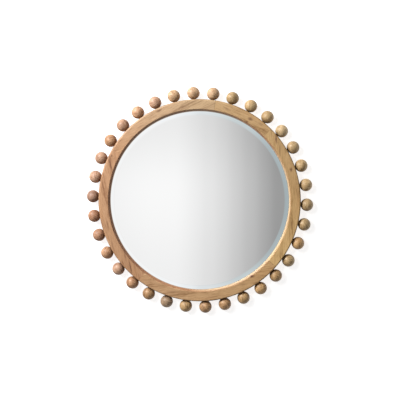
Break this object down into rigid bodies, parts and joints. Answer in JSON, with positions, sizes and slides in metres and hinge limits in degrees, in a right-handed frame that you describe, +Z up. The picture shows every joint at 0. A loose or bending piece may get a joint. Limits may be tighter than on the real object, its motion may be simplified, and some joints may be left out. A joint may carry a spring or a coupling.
{
  "type": "round wall mirror",
  "caption": "Round wall mirror with bevelled glass in a turned wooden ring, studded all round with wooden balls, and swinging hanger loops on its back.",
  "frame": {"origin": "on the wall's face, at the middle of the round mirror; the bumpers' faces are at y = 0", "axes": "+Z up, the mirror faces -Y, +X to the viewer's right as seen from the front"},
  "size_m": [0.8822, 0.055, 0.8814],
  "materials": {
    "ring_wood": "natural mango wood, matt clear finish",
    "ball_wood": "natural mango wood, matt clear finish",
    "joinery_wood": "bare beech",
    "mirror": "silvered, bevelled edge",
    "foam": "thin white foam sheet",
    "panel_board": "bare fibreboard",
    "steel": "zinc plated",
    "bumper_rubber": "soft rubber"
  },
  "bodies": {
    "mirror": {"ring_board_upper_right": "ring_wood", "ring_board_right": "ring_wood", "ring_board_bottom": "ring_wood", "ring_board_left": "ring_wood", "ring_board_top": "ring_wood", "ball_01": "ball_wood", "ball_02": "ball_wood", "ball_03": "ball_wood", "ball_04": "ball_wood", "ball_05": "ball_wood", "ball_06": "ball_wood", "ball_07": "ball_wood", "ball_08": "ball_wood", "ball_09": "ball_wood", "ball_10": "ball_wood", "ball_11": "ball_wood", "ball_12": "ball_wood", "ball_13": "ball_wood", "ball_14": "ball_wood", "ball_15": "ball_wood", "ball_16": "ball_wood", "ball_17": "ball_wood", "ball_18": "ball_wood", "ball_19": "ball_wood", "ball_20": "ball_wood", "ball_21": "ball_wood", "ball_22": "ball_wood", "ball_23": "ball_wood", "ball_24": "ball_wood", "ball_25": "ball_wood", "ball_26": "ball_wood", "ball_27": "ball_wood", "ball_28": "ball_wood", "ball_29": "ball_wood", "ball_30": "ball_wood", "ball_31": "ball_wood", "ball_32": "ball_wood", "ball_33": "ball_wood", "ball_34": "ball_wood", "ring_tenons": "joinery_wood", "ball_dowels": "joinery_wood", "mirror_glass": "mirror", "backing_foam": "foam", "back_panel": "panel_board", "panel_screws": "steel", "hanger_strap_left": "steel", "hanger_screws_left": "steel", "hanger_strap_right": "steel", "hanger_screws_right": "steel", "wall_bumper_upper_right": "bumper_rubber", "wall_bumper_lower_right": "bumper_rubber", "wall_bumper_lower_left": "bumper_rubber", "wall_bumper_upper_left": "bumper_rubber"},
    "left_loop": {"hanger_loop_left": "steel"},
    "right_loop": {"hanger_loop_right": "steel"}
  },
  "joints": [
    {"name": "left_loop_swing", "type": "hinge", "parent": "mirror", "child": "left_loop", "pos_m": [-0.37238, -0.0025, 0.08], "axis": [1, 0, 0], "range_deg": [0, 180]},
    {"name": "right_loop_swing", "type": "hinge", "parent": "mirror", "child": "right_loop", "pos_m": [0.37238, -0.0025, 0.08], "axis": [1, 0, 0], "range_deg": [0, 180]}
  ]
}
